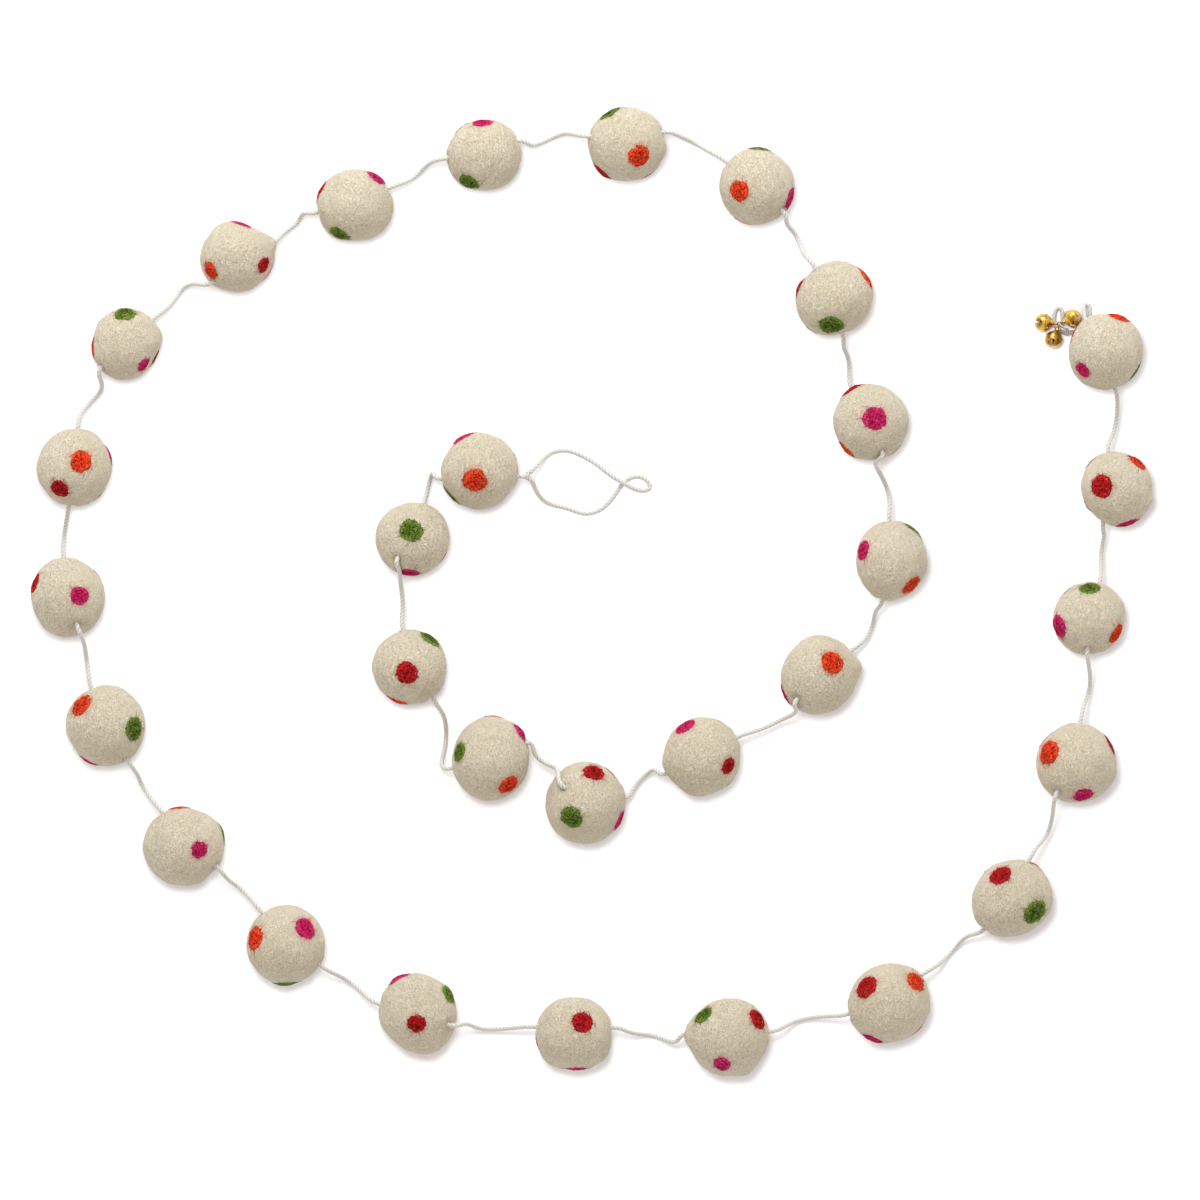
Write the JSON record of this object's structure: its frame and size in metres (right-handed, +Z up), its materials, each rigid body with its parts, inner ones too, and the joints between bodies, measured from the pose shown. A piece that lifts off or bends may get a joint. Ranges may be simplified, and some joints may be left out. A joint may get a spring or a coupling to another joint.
{
  "type": "felt ball garland",
  "caption": "Garland of cream wool felt balls with small felted dots, threaded on a thin twisted cord, with a hanging loop at one end and gold jingle bells at the other, laid out in a spiral.",
  "frame": {"origin": "on the surface the garland lies on, below the middle of the outline of its thirty balls", "axes": "+X across the spiral's longest extent, +Z up from the surface, the outer end with the bells at +X +Y"},
  "size_m": [0.5598, 0.4845, 0.0392],
  "materials": {
    "cream_felt": "hand-felted cream wool, matt, fuzzy, with raised needle-felted dots in orange-red, crimson, magenta and green",
    "cord": "off-white twisted cord with a slight sheen",
    "gold_metal": "polished gold-coloured brass"
  },
  "bodies": {
    "root": {"ball_01": "cream_felt", "ball_02": "cream_felt", "ball_03": "cream_felt", "ball_04": "cream_felt", "ball_05": "cream_felt", "ball_06": "cream_felt", "ball_07": "cream_felt", "ball_08": "cream_felt", "ball_09": "cream_felt", "ball_10": "cream_felt", "ball_11": "cream_felt", "ball_12": "cream_felt", "ball_13": "cream_felt", "ball_14": "cream_felt", "ball_15": "cream_felt", "ball_16": "cream_felt", "ball_17": "cream_felt", "ball_18": "cream_felt", "ball_19": "cream_felt", "ball_20": "cream_felt", "ball_21": "cream_felt", "ball_22": "cream_felt", "ball_23": "cream_felt", "ball_24": "cream_felt", "ball_25": "cream_felt", "ball_26": "cream_felt", "ball_27": "cream_felt", "ball_28": "cream_felt", "ball_29": "cream_felt", "ball_30": "cream_felt", "cord": "cord", "loop_knot": "cord", "end_knot": "cord", "bell_tie": "cord", "bell_1": "gold_metal", "bell_2": "gold_metal", "bell_3": "gold_metal"}
  },
  "joints": []
}
